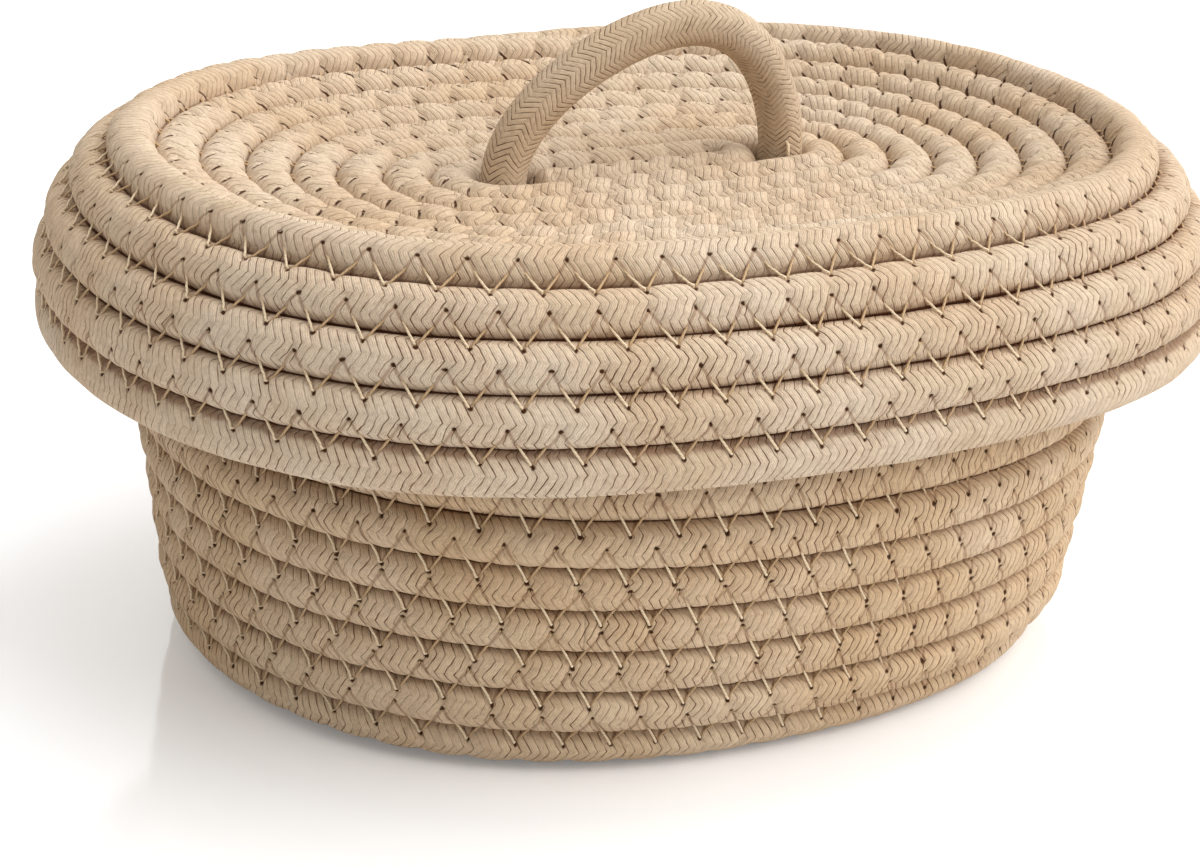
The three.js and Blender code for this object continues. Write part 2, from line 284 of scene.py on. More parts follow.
class Coil:
    """A rope wound as an oval spiral: where its middle lies after any number of turns."""

    def __init__(
        self,
        section,
        stretches,
        bulges,
        wall_height,
        fullness,
        pitch,
        facing,
        mirror,
        back_step,
        turns,
        lift,
        reach,
        slot=0,
        panel_turns=0,
        tight_from=0.0,
    ):
        points = np.array(section)
        self.points = np.vstack([points, points[-1] + 3 * (points[-1] - points[-2])])
        self.runs = reach_along(self.points)
        self.stretches = stretches
        self.bulges = bulges
        self.wall_height = wall_height
        self.fullness = fullness
        self.pitch = pitch
        self.facing = facing
        self.mirror = mirror
        self.back_step = back_step
        self.turns = turns
        self.lift = lift
        # Up to this turn the rope lies flat and its thread is drawn in deeper, and from this place
        # towards the right end the thread is drawn in again.
        self.panel_turns = panel_turns
        self.tight_from = tight_from
        # How far from the seam the needle goes into the inner turn and into the outer one.
        self.reach_in = reach[0] * pitch
        self.reach_out = reach[1] * pitch
        besides = self.growth(np.array([0.25])) + self.growth(np.array([-0.25]))
        self.first = pitch / (1 + bulges[0]) - pitch / 2 * besides[0]
        # The middle run ends with the stretch, or leaves a slot at each end for a leg of the handle.
        self.middle = stretches[0]
        if slot:
            self.middle += self.first - CAD_RADIUS - slot
        self.wind()
        self.find_neighbours()
        self.count_stitches()

    def stretch(self, z):
        """Half the straight stretch at a height of the section."""
        return self.stretches[0] + (self.stretches[1] - self.stretches[0]) * z / self.wall_height

    def bulge(self, z):
        """How much wider than round the oval is across, at a height of the section."""
        return self.bulges[0] + (self.bulges[1] - self.bulges[0]) * z / self.wall_height

    def growth(self, turns):
        """How many turns the rope has stepped outwards: evenly, but for the share it steps at the back."""
        whole = np.floor(turns)
        behind = np.maximum(2 * (turns - whole) - 1, 0)
        stepped = whole + behind * behind * (3 - 2 * behind)
        return turns + self.back_step * (stepped - turns)

    def section(self, s):
        """Distance from the stretch, and height, at a length along the section."""
        return np.interp(s, self.runs, self.points[:, 0]), np.interp(s, self.runs, self.points[:, 1])

    def length_at(self, turn):
        """The length along the section at which the rope lies after so many turns."""
        rounds = np.floor(turn - FIRST_TURN + 1e-9)
        s = self.first + self.pitch * self.growth(turn - rounds)
        for k in range(int(rounds.max())):
            going = rounds > k
            r, z = self.section(s[going])
            # Closes in on the length that lies one pitch further on in a straight line.
            ahead = s[going] + self.pitch
            for _ in range(25):
                r2, z2 = self.section(ahead)
                ahead += self.pitch - np.hypot(r2 - r, z2 - z)
            s[going] = ahead
        return s

    def oval(self, turn):
        """The cosine and sine of the oval's angle after so many turns, and its level way outwards."""
        angle = np.linspace(0, 2 * np.pi, OVAL_POINTS)
        nx = self.bulges[0] * EVEN_DISTANCE * np.cos(angle)
        ny = self.stretches[0] * np.sin(angle)
        length = np.hypot(nx, ny)
        x = self.stretches[0] * np.cos(angle) + EVEN_DISTANCE * nx / length
        y = self.bulges[0] * EVEN_DISTANCE * np.sin(angle) + EVEN_DISTANCE * ny / length
        run = reach_along(np.stack([x, y], -1))
        angle = np.interp((turn + 0.5) % 1, run / run[-1], angle)
        core, side = np.cos(angle), np.sin(angle)
        nx, ny = self.bulges[0] * EVEN_DISTANCE * core, self.stretches[0] * side
        length = np.hypot(nx, ny)
        return core, side, nx / length, ny / length

    def place(self, turn):
        """The rope's middle, and the way its outer face looks, after so many turns."""
        turn = np.asarray(turn, float)
        core, side, nx, ny = self.oval(turn)
        r, z = self.section(self.length_at(turn))
        r_before, z_before = self.section(self.length_at(np.maximum(turn - 1, FIRST_TURN)))
        r_after, z_after = self.section(self.length_at(turn + 1))
        full = r * (1 + self.fullness * (2 * nx * ny) ** 2)
        x = self.mirror * (self.stretch(z) * core + full * nx)
        y = self.bulge(z) * r * side + full * ny
        slope = np.arctan2(z_after - z_before, r_after - r_before)
        level = self.facing * np.sin(slope)
        out = np.stack([self.mirror * level * nx, level * ny, -self.facing * np.cos(slope)], -1)
        return np.stack([x, y, z + self.lift], -1), out

    def wind(self):
        """Lays the rope out as points at even steps: the middle run, its small turn, then the turns."""
        self.laid_turn = np.arange(FIRST_TURN, self.turns, 1 / POINTS_PER_TURN)
        self.laid, out = self.place(self.laid_turn)
        self.back_run = self.laid[0, 1]
        self.front_run = self.place(np.array([0.25]))[0][0, 1]
        self.middle_run = (self.back_run + self.front_run) / 2
        small = (self.back_run - self.middle_run) / 2
        self.turn_x = self.middle - CAD_RADIUS - small
        bend = np.linspace(-np.pi / 2, np.pi / 2, BEND_POINTS)
        run_x = np.linspace(SLOT_SHOWING - self.middle, self.turn_x, RUN_POINTS + 1)[:-1]
        back_x = np.linspace(self.turn_x, 0, BACK_POINTS + 2)[1:-1]
        x = np.concatenate([run_x, self.turn_x + small * np.cos(bend), back_x])
        run_y = np.full(RUN_POINTS, self.middle_run)
        back_y = np.full(BACK_POINTS, self.back_run)
        y = np.concatenate([run_y, self.middle_run + small + small * np.sin(bend), back_y])
        inner = np.stack([self.mirror * x, y, np.full(len(x), self.laid[0, 2])], -1)
        inner_out = np.tile([0.0, 0.0, -self.facing], (len(x), 1))
        inner_turn = np.repeat([MIDDLE_RUN, SMALL_TURN, WAY_BACK], [RUN_POINTS, BEND_POINTS, BACK_POINTS])
        path = np.vstack([inner, self.laid])
        self.laid_run = reach_along(path)
        self.run = np.linspace(0, self.laid_run[-1], int(self.laid_run[-1] / RING_STEP))
        self.turn = np.interp(self.run, self.laid_run, np.concatenate([inner_turn, self.laid_turn]))
        self.path = read_along(self.run, self.laid_run, path)
        self.outs = read_along(self.run, self.laid_run, np.vstack([inner_out, out]))

    def find_neighbours(self):
        """The ways from the rope to its neighbours, which are the same where it has only one."""
        turn = self.laid_turn[:, None]
        inwards = self.place(np.maximum(self.laid_turn - 1, FIRST_TURN))[0] - self.laid
        outwards = self.place(self.laid_turn + 1)[0] - self.laid
        outwards = np.where(turn > self.turns - 1, inwards, outwards)
        inwards = np.where(turn < 0.75, -outwards, inwards)
        sideways = np.tile([0.0, 1.0, 0.0], (RUN_POINTS + BEND_POINTS + BACK_POINTS, 1))
        self.outwards = read_along(self.run, self.laid_run, np.vstack([sideways, outwards]))
        self.inwards = read_along(self.run, self.laid_run, np.vstack([-sideways, inwards]))

    def count_stitches(self):
        """Counts the stitches along the seam outside the rope and along the one inside it."""
        self.seam_turn = np.arange(FIRST_TURN, self.turns - 1, 1 / POINTS_PER_TURN)
        self.seam_run = reach_along((self.place(self.seam_turn)[0] + self.place(self.seam_turn + 1)[0]) / 2)
        # The middle run is sewn to the straight parts on both its sides, counted by the place along it.
        place = self.mirror * self.path[:, 0] / STITCH_LENGTH
        straight = place > RUN_UNSEWN - self.middle / STITCH_LENGTH
        straight &= place < self.turn_x / STITCH_LENGTH
        on_run = self.turn < (MIDDLE_RUN + SMALL_TURN) / 2
        outside = np.where(self.turn < FIRST_TURN - 0.01, HELD, self.stitches(self.turn))
        self.count_out = np.where(on_run, place, outside)
        inside = np.where(on_run, place, self.stitches(self.turn - 1))
        beside_back = straight & (self.turn > (SMALL_TURN + WAY_BACK) / 2) & (self.turn < 0)
        beside_front = straight & (self.turn > 0) & (self.turn < 0.5)
        self.count_in = np.where(beside_back, place + 0.5, np.where(beside_front, place, inside))

    def stitches(self, turn):
        """How many stitches lie before a turn on the seam to the next, held still where it is unsewn."""
        count = np.interp(turn, self.seam_turn, self.seam_run / STITCH_LENGTH)
        held = np.where(turn < 0, HELD, math.floor(self.seam_run[-1] / STITCH_LENGTH) + HELD)
        return np.where((turn >= FIRST_TURN) & (turn <= self.turns - 1), count, held)

    def leg_across(self, count):
        """How far outwards from the seam the zigzag lies at a count of stitches."""
        part = count % 1
        whole = self.reach_in + self.reach_out
        outbound = 2 * part * whole - self.reach_in
        return np.where(part < 0.5, outbound, self.reach_out - (2 * part - 1) * whole)


def squared(angle):
    """The radius of a slightly squared circle of radius 1 at an angle."""
    sides = np.abs(np.cos(angle)) ** ROPE_SQUARENESS + np.abs(np.sin(angle)) ** ROPE_SQUARENESS
    return sides ** (-1 / ROPE_SQUARENESS)


def rounded_end(distance):
    """How full a rope is at a distance from its cut end, which is rounded over."""
    short = 1 - np.clip(distance / END_ROUNDING, 0, 1)
    return np.sqrt(np.clip(1 - short**2, 0.05, 1))[:, None]


def pressed_in(shape, distance):
    """How deep a pressed shape is at a distance from its middle."""
    depth, spread = shape
    return depth * np.exp(-((distance / spread) ** 2))


def square_to(path, outs):
    """The ways outwards and sideways from a path, square to it at each of its points."""
    along = np.gradient(path, axis=0)
    along /= np.linalg.norm(along, axis=1)[:, None]
    out = outs - (outs * along).sum(1)[:, None] * along
    out /= np.linalg.norm(out, axis=1)[:, None]
    return out, np.cross(along, out)


def tube(name, path, outs, radii, run, marks=None, floor=None):
    """Wraps a grid around a path as a closed tube, with a map of the length along and the share around."""
    rings, sides = radii.shape
    form = bmesh.new()
    bmesh.ops.create_grid(form, x_segments=rings - 1, y_segments=sides, size=0.5)
    mesh = bpy.data.meshes.new(name)
    form.to_mesh(mesh)
    form.free()
    flat = np.empty(len(mesh.vertices) * 3)
    mesh.vertices.foreach_get("co", flat)
    flat = flat.reshape(-1, 3) + 0.5
    i = np.rint(flat[:, 0] * (rings - 1)).astype(int)
    j = np.rint(flat[:, 1] * sides).astype(int)
    out, side = square_to(path, outs)
    angle = (2 * np.pi * j / sides)[:, None]
    places = path[i] + radii[i, j % sides][:, None] * (np.cos(angle) * out[i] + np.sin(angle) * side[i])
    if floor is not None:
        places[:, 2] = np.maximum(places[:, 2], floor)
    mesh.vertices.foreach_set("co", places.ravel())
    uv = mesh.uv_layers.new(name="rope")
    corner = np.empty(len(mesh.loops), int)
    mesh.loops.foreach_get("vertex_index", corner)
    uv.data.foreach_set("uv", np.stack([run[i[corner]], j[corner] / sides], -1).ravel())
    for mark, values in (marks or {}).items():
        layer = mesh.attributes.new(mark, "FLOAT", "POINT")
        layer.data.foreach_set("value", values[i, j % sides])
    form = bmesh.new()
    form.from_mesh(mesh)
    bmesh.ops.remove_doubles(form, verts=form.verts, dist=1e-7)
    bmesh.ops.holes_fill(form, edges=form.edges, sides=sides + 2)
    bmesh.ops.recalc_face_normals(form, faces=form.faces)
    form.to_mesh(mesh)
    form.free()
    mesh.shade_smooth()
    piece = bpy.data.objects.new(name, mesh)
    scene.collection.objects.link(piece)
    return piece


def rope_surface(coil, start, end):
    """The radii of a stretch of rope, pressed in by the zigzag and puffed up between its legs."""
    run = coil.run[start:end]
    turn = coil.turn[start:end]
    theta = 2 * np.pi * np.arange(ROPE_SIDES) / ROPE_SIDES
    radius = coil.pitch / 2 + OVERLAP
    steepness = math.hypot(1, 2 * (coil.reach_in + coil.reach_out) / STITCH_LENGTH)
    out, side = square_to(coil.path[start:end], coil.outs[start:end])
    pressed = np.zeros((len(run), ROPE_SIDES))
    touch = np.full((len(run), ROPE_SIDES), -1.0)
    marks = {"turn": np.repeat(turn[:, None], ROPE_SIDES, axis=1)}
    for edge, counts, ways, hole_at, hole_across in (
        ("out", coil.count_out, coil.outwards, 0.0, -coil.reach_in),
        ("in", coil.count_in, coil.inwards, 0.5, coil.reach_out),
    ):
        count = counts[start:end, None]
        way = ways[start:end]
        angle = np.arctan2((way * side).sum(1), (way * out).sum(1))[:, None]
        turned = theta[None, :] - angle
        touch = np.maximum(touch, np.cos(turned))
        across = -math.copysign(radius, -hole_across) * (1 - squared(turned) * np.cos(turned))
        off_leg = (across - coil.leg_across(count)) / steepness
        off_hole = np.hypot(((count - hole_at + 0.5) % 1 - 0.5) * STITCH_LENGTH, across - hole_across)
        # The flat panel is sewn harder, and its holes are slits that the rope closes over.
        panel = np.clip((coil.panel_turns + (edge == "in") - turn) * PANEL_EDGE, 0, 1)[:, None]
        depth = (1 + PANEL_FURROW * panel) * pressed_in(FURROW, off_leg)
        depth += (1 + PANEL_HOLLOW * panel) * pressed_in(HOLLOW, off_leg)
        depth += (1 - PANEL_PIT * panel) * pressed_in(PIT, off_hole)
        depth += pressed_in(DENT, off_hole)
        pressed = np.maximum(pressed, depth)
        marks["seam_" + edge] = np.repeat(count, ROPE_SIDES, axis=1)
        marks["edge_" + edge] = np.repeat(angle, ROPE_SIDES, axis=1)
    knots = np.arange(0, LONGEST_ROPE, WAVER_STEP)
    waver = np.interp(run, knots, np.random.default_rng(7).normal(0, WAVER, len(knots)))
    # Where two turns touch, the rope is held by its neighbour and is pressed in less.
    free = np.clip(np.sqrt(np.clip(1 - touch * np.abs(touch), 0, 1)) * 1.5 - 0.35, 0, 1)
    full = radius * squared(theta)[None, :] + waver[:, None] + SWELLING
    return full * rounded_end(np.minimum(coil.run[-1] - run, run)) - pressed * free, marks


def linear(red, green, blue):
    """A screen colour from 0 to 255 as the light that it stands for."""
    shares = [c / 255 for c in (red, green, blue)]
    return (*[s / 12.92 if s < 0.04045 else ((s + 0.055) / 1.055) ** 2.4 for s in shares], 1)


# The painted shade of the sewing: between which distances a needle hole, a furrow, and the end
# of a slit fade out, how broad a slit's edge is, and how unevenly all of them lie.
HOLE_FADE = (0.0003, 0.00075)
FURROW_FADE = (0.0001, 0.0006)
SLIT_END_FADE = (0.0008, 0.0016)
SLIT_EDGE = 0.0004
UNEVEN_ACROSS = 0.0016
UNEVEN_ALONG = 0.0014

# The slits of the panel, painted as shade on a turn's outer and inner edge: slope, middle along,
# and half width. They show only where the rope's patches are dark enough, and take this share off
# the furrows.
PANEL_SLITS = {"out": (1.25, -0.0024, 0.0003), "in": (0.85, 0.0013, 0.0002)}
SLITS_SHOW = (0.44, 0.56)
SLITS_FOR_FURROWS = 0.65


def sewing(nodes, around, rough, reach, panels):
    """The painted shade of the thread's marks: its needle holes, its furrows, and how near the next turn
    is.
    """
    grain, patchy, shade = rough
    inner, outer = reach[0] * ROPE_PITCH, reach[1] * ROPE_PITCH
    whole = inner + outer
    holes, furrows, touch = 0.0, 0.0, -1.0
    for mark, hole_at, hole_across, way in (("out", 0.0, -inner, 1), ("in", 0.5, outer, -1)):
        count = nodes.add("Attribute", {"attribute_name": "seam_" + mark}, {}, output=2)
        angle = nodes.add("Attribute", {"attribute_name": "edge_" + mark}, {}, output=2)
        turned = nodes.sum("COSINE", around * (2 * math.pi) - angle)
        touch = nodes.sum("MAXIMUM", turned, touch)
        across = turned * (way * ROPE_PITCH / 2) - way * ROPE_PITCH / 2 + (patchy - 0.5) * UNEVEN_ACROSS
        along = (nodes.sum("FRACT", count + (0.5 - hole_at)) - 0.5) * STITCH_LENGTH
        along = along + (grain - 0.5) * UNEVEN_ALONG
        off = across - hole_across
        hole = 1 - nodes.sum("SQRT", along * along + off * off).between(*HOLE_FADE)
        zigzag = nodes.sum("PINGPONG", count * 2, 1.0) * whole - inner
        aside = nodes.sum("ABSOLUTE", across - zigzag) * (1 / math.hypot(1, 2 * whole / STITCH_LENGTH))
        furrow = 1 - aside.between(*FURROW_FADE)
        if panels:
            panel = panels[mark]
            slope, middle, width = PANEL_SLITS[mark]
            past = (nodes.sum("FRACT", count) - inner / whole / 2) * STITCH_LENGTH
            cut = 1 - nodes.sum("ABSOLUTE", across - past * slope).between(width, width + SLIT_EDGE)
            cut = cut * (1 - nodes.sum("ABSOLUTE", past - middle).between(*SLIT_END_FADE))
            furrow = furrow * (1 - panel * SLITS_FOR_FURROWS)
            hole = hole * (1 - panel) + cut * (patchy + shade * 0.2).between(*SLITS_SHOW) * panel
        holes = hole + holes
        furrows = furrow + furrows
    return nodes.sum("MINIMUM", holes, 1.0), nodes.sum("MINIMUM", furrows, 1.0), touch


# The braid: its yarns to a strand, how near the strand's edge the dark line of painted shade in
# the groove between two strands starts, where it shows, how much of it the panel loses, and the
# relief of the whole.
YARNS = 4
LINE_START = 0.78
LINES_SHOW = (0.4, 0.66)
PANEL_CALM = 0.36
BRAID_RELIEF = 0.00042

# The browns of the painted shade along the seams and in the needle holes, and how dark the
# painted shade in the furrows is.
SEAM_SHADE_BROWN = linear(116, 60, 18)
HOLE_SHADE_BROWN = linear(70, 40, 18)
FURROW_SHADE = 0.46

# The faint shine of loose fibres on the rope.
ROPE_ROUGHNESS = 0.88
ROPE_SPECULAR = 0.12
ROPE_SHEEN = 0.08
SHEEN_TINT = linear(240, 215, 185)


def rope_finish(name, pale, warm, deep, groove_shade, braid, reach=None, panel_turns=0):
    """Braided cotton: leaning strands of fine yarns, painted shade in the grooves between some of them, and
    its sewing.
    """
    columns, spacing, strand_lean = braid
    paint = bpy.data.materials.new(name)
    paint.use_nodes = True
    shader = paint.node_tree.nodes["Principled BSDF"]
    nodes = Wire(paint.node_tree)
    place = nodes.add("UVMap", {"uv_map": "rope"}, {})
    run = nodes.add("SeparateXYZ", {}, {0: place}, output=0)
    around = nodes.add("SeparateXYZ", {}, {0: place}, output=1)
    # Unevenness from broad clouds of colour down to single fibres.
    spot = nodes.add("TexCoord", {}, {}, output=3)
    cloudy = nodes.add("TexNoise", {}, {"Vector": spot, "Scale": 24.0, "Detail": 3.0})
    drift = nodes.add("TexNoise", {}, {"Vector": spot, "Scale": 60.0, "Detail": 1.0})
    wander = nodes.add("TexNoise", {}, {"Vector": spot, "Scale": 160.0, "Detail": 2.0})
    patchy = nodes.add("TexNoise", {}, {"Vector": spot, "Scale": 330.0, "Detail": 2.0})
    grain = nodes.add("TexNoise", {}, {"Vector": spot, "Scale": 700.0, "Detail": 2.0})
    fuzz = nodes.add("TexNoise", {}, {"Vector": spot, "Scale": 1900.0, "Detail": 3.0, "Roughness": 0.7})
    # The strands lean one way in one column and the other way in the next.
    column = around * columns + wander * 0.3
    phase = run * (1 / spacing) + nodes.sum("PINGPONG", column, 1.0) * strand_lean + wander * 0.8
    strand_edge = nodes.sum("ABSOLUTE", nodes.sum("FRACT", phase) * 2 - 1)
    yarn_edge = nodes.sum("ABSOLUTE", nodes.sum("FRACT", phase * YARNS) * 2 - 1)
    line = strand_edge.between(LINE_START, 1.0) * (patchy * 0.55 + drift * 0.45).between(*LINES_SHOW)
    panels = {}
    if panel_turns:
        turn = nodes.add("Attribute", {"attribute_name": "turn"}, {}, output=2)
        panels["out"] = ((panel_turns - turn) * PANEL_EDGE).between(0.0, 1.0)
        panels["in"] = ((panel_turns + 1 - turn) * PANEL_EDGE).between(0.0, 1.0)
        line = line * (1 - (panels["out"] + panels["in"]) * PANEL_CALM)
    across = nodes.add("CombineXYZ", {}, {0: phase * 9, 1: column * 3.5})
    fibre = nodes.add("TexNoise", {}, {"Vector": across, "Scale": 1.0, "Detail": 2.0, "Roughness": 0.65})
    strand = nodes.add("CombineXYZ", {}, {0: nodes.sum("FLOOR", phase), 1: nodes.sum("FLOOR", column)})
    shade = nodes.add("TexWhiteNoise", {}, {"Vector": strand})
    height = 1 - strand_edge**4 - yarn_edge**2 * 0.25 - line * 0.6 + fuzz * 0.5 + grain * 0.5 + fibre * 0.8
    bump = nodes.add("Bump", {}, {"Height": height, "Strength": 0.8, "Distance": BRAID_RELIEF})
    tint = (cloudy * 0.8 + drift * 0.2).between(0.33, 0.67).mixed(pale, warm)
    # Random mottle of strands, fibres and grain, and painted shade in the gaps between yarns.
    yarn = yarn_edge.between(0.45, 1.0) * fuzz.between(0.35, 0.65)
    mottle_and_yarn_shade = shade * 0.1 + fibre.between(0.42, 0.72) * 0.2 + grain.between(0.42, 0.72) * 0.12 + yarn * 0.2
    # Painted shade in the grooves between strands, and the mottle, darken the tint towards the deep brown.
    colour = nodes.sum("MINIMUM", line * groove_shade + mottle_and_yarn_shade, 1.0).mixed(tint, deep)
    if reach:
        holes, furrows, touch = sewing(nodes, around, (grain, patchy, shade), reach, panels)
        # Painted shade: the rope is painted browner towards the seam, where the next turn shades it,
        # with a darker line of painted shade along the gap.
        gap = touch + (grain - 0.5) * 0.03
        beside = gap.between(0.6, 0.9) * 0.2 + gap.between(0.885, 0.93) * 0.7
        if panels:
            beside = beside * (1 - panels["out"] * 0.5) * (1 - panels["in"] * 0.4)
        # The thread's furrows get painted shade.
        colour = (furrows * FURROW_SHADE).mixed(colour, deep)
        colour = beside.mixed(colour, SEAM_SHADE_BROWN)
        # The needle holes and the panel's slits get painted shade.
        colour = holes.mixed(colour, HOLE_SHADE_BROWN)
    colour.feed(shader, "Base Color")
    bump.feed(shader, "Normal")
    shader.inputs["Roughness"].default_value = ROPE_ROUGHNESS
    shader.inputs["Specular IOR Level"].default_value = ROPE_SPECULAR
    shader.inputs["Sheen Weight"].default_value = ROPE_SHEEN
    shader.inputs["Sheen Tint"].default_value = SHEEN_TINT
    return paint


def sewn_rope(coil, name, body, node, finish, floor=None):
    """The pieces of one sewn rope, each up to 2.4 m long, that together stand for its node."""
    for count, start in enumerate(range(0, len(coil.run) - 1, PIECE_RINGS)):
        end = min(start + PIECE_RINGS + 1, len(coil.run))
        path, outs, run = coil.path[start:end], coil.outs[start:end], coil.run[start:end]
        radii, marks = rope_surface(coil, start, end)
        piece = tube(f"{name}_{count + 1}", path, outs, radii, run, marks, floor)
        piece.data.materials.append(finish)
        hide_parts(node)
        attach(piece, body)


# The shares of the pitch that the needle reaches in and out from the seam, and the braid: columns
# around the rope, how far apart its strands lie, and how far they lean.
BASKET_REACH = (0.26, 0.60)
ROPE_BRAID = (8, 0.0021, 1.15)
# The brown of the painted shade in the braid's grooves, furrows and yarn gaps, and the dark end of the
# rope's random mottle.
SHADE_AND_MOTTLE_BROWN = linear(118, 66, 24)

basket_cotton = rope_finish(
    "basket_cotton",
    pale=linear(231, 207, 177),
    warm=linear(221, 191, 154),
    deep=SHADE_AND_MOTTLE_BROWN,
    groove_shade=0.85,
    braid=ROPE_BRAID,
    reach=BASKET_REACH,
)

HEEL_START = 0.0735
HEEL_RADIUS = 0.012
HEEL_STEPS = 12
BELLY_RADIUS = 0.094
BELLY_HEIGHT = 0.058
RIM_RADIUS = 0.0915
WALL_HEIGHT = 0.102
BASE_FLAT = 0.2 * CAD_RADIUS

wall_lean = math.atan2(BELLY_RADIUS - HEEL_START - HEEL_RADIUS, BELLY_HEIGHT - HEEL_RADIUS)
basket_section = [(0, 0), (HEEL_START, 0)]
for heel_step in range(1, HEEL_STEPS + 1):
    heel_angle = heel_step / HEEL_STEPS * (math.pi / 2 - wall_lean)
    heel_out = HEEL_START + HEEL_RADIUS * math.sin(heel_angle)
    basket_section.append((heel_out, HEEL_RADIUS * (1 - math.cos(heel_angle))))
basket_section += [(BELLY_RADIUS, BELLY_HEIGHT), (RIM_RADIUS, WALL_HEIGHT)]

basket_coil = Coil(
    section=basket_section,
    stretches=(0.031, 0.0255),
    bulges=(0.1, 0.06),
    wall_height=WALL_HEIGHT,
    fullness=0,
    pitch=0.0113,
    facing=1,
    mirror=-1,
    back_step=0,
    turns=15.58,
    lift=CAD_RADIUS - BASE_FLAT,
    reach=BASKET_REACH,
)
sewn_rope(basket_coil, "basket_rope", "basket", "basket_rope_coil", basket_cotton, floor=0)


# Basket seam thread
# Cream cotton thread, sewn in a zigzag over every seam on both faces. Each leg dives into a needle
# hole in one turn, bridges the seam and dives into the next turn.

THREAD_RADIUS = 0.0003
THREAD_SIDES = 5
THREAD_RELIEF = 0.0001
THREAD_SHADE = linear(150, 120, 84)
TWISTS_PER_METRE = 900

# Where the points of one leg lie, as shares of its length. At the first the thread dives.
LEG_SHARES = np.array([0.0, 0.06, 0.2, 0.35, 0.5, 0.65, 0.8, 0.94])
DIVE = 0.0016

# How far the thread lies under the rope's skin, in the dull legs, which rise a little over the
# seam, in the bright ones, which rise at one end, and where it is drawn in tight.
DULL_DEPTH = 0.0009
DULL_RISE = 0.0005
BRIGHT_DEPTH = 0.00095
BRIGHT_RISE = 0.0009
TIGHT_DEPTH = 0.0014

# From where it starts to be drawn in towards the right end, this far on it is drawn in fully.
TIGHTENING = 0.04
TIGHTEST = 0.9

# The thread follows the rope's skin, this much proud of half the pitch, up to a first share of the
# pitch from the seam, and over the seam itself it hangs between the ropes, as far as a second one.
SKIN = 0.0002
FOLLOWED = 0.13
BRIDGED = 0.16


def thread_finish(name, bright, thread_in_shade):
    """Twisted cotton thread, with painted shade between its plies and on the legs that lie deeper."""
    paint = bpy.data.materials.new(name)
    paint.use_nodes = True
    shader = paint.node_tree.nodes["Principled BSDF"]
    nodes = Wire(paint.node_tree)
    place = nodes.add("UVMap", {"uv_map": "rope"}, {})
    run = nodes.add("SeparateXYZ", {}, {0: place}, output=0)
    around = nodes.add("SeparateXYZ", {}, {0: place}, output=1)
    ply = nodes.sum("ABSOLUTE", nodes.sum("FRACT", run * TWISTS_PER_METRE + around * 2) * 2 - 1)
    tint = nodes.add("Attribute", {"attribute_name": "thread_in_shade"}, {}, output=2).mixed(bright, thread_in_shade)
    (ply.between(0.5, 1.0) * 0.35).mixed(tint, THREAD_SHADE).feed(shader, "Base Color")
    bump = nodes.add("Bump", {}, {"Height": 1 - ply**2, "Strength": 0.6, "Distance": THREAD_RELIEF})
    bump.feed(shader, "Normal")
    shader.inputs["Roughness"].default_value = 0.7
    shader.inputs["Sheen Weight"].default_value = 0.2
    return paint


seam_cotton = thread_finish("seam_cotton", bright=linear(236, 214, 180), thread_in_shade=linear(196, 164, 122))


def lay_thread(coil, name, body, face, near, far, out, across, dull, risen, sunk, floor=None):
    """Lays thread over a seam between two ropes, sunk where it was pulled tight."""
    way = far - near
    way /= np.linalg.norm(way, axis=1)[:, None]
    out = out - (out * way).sum(1)[:, None] * way
    out /= np.linalg.norm(out, axis=1)[:, None]
    from_middle = coil.pitch / 2 - np.maximum(np.abs(across), FOLLOWED * coil.pitch)
    radius = coil.pitch / 2 + SKIN
    share = np.clip(np.abs(from_middle) / radius, 0, 0.999)
    height = radius * (1 - share**ROPE_SQUARENESS) ** (1 / ROPE_SQUARENESS)
    bridging = np.exp(-((across / (BRIDGED * coil.pitch)) ** 2))
    bright = np.clip(risen * 2.5 - 0.6, 0, 1) * (1 - sunk)
    height -= np.where(dull, DULL_DEPTH - DULL_RISE * bridging, BRIGHT_DEPTH - BRIGHT_RISE * bright)
    height -= TIGHT_DEPTH * sunk
    height -= DIVE * (np.arange(len(across)) % len(LEG_SHARES) == 0)
    path = (near + far) / 2 + way * across[:, None] + face * out * height[:, None]
    if floor is not None:
        path[:, 2] = np.maximum(path[:, 2], floor + THREAD_RADIUS)
    radii = np.full((len(path), THREAD_SIDES), THREAD_RADIUS)
    # The dull legs, and the bright ones where they lie sunk, are painted in the thread's shaded colour.
    shade_share = np.where(dull, 1.0, 1 - bright)
    marks = {"thread_in_shade": np.repeat(shade_share[:, None], THREAD_SIDES, axis=1)}
    piece = tube(name, path, face * out, radii, reach_along(path), marks, floor)
    piece.data.materials.append(seam_cotton)
    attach(piece, body)


def legs_between(first, last):
    """The points of the legs from one to before another: each point's leg, and its share of the leg."""
    return np.repeat(np.arange(first, last), len(LEG_SHARES)), np.tile(LEG_SHARES, last - first)


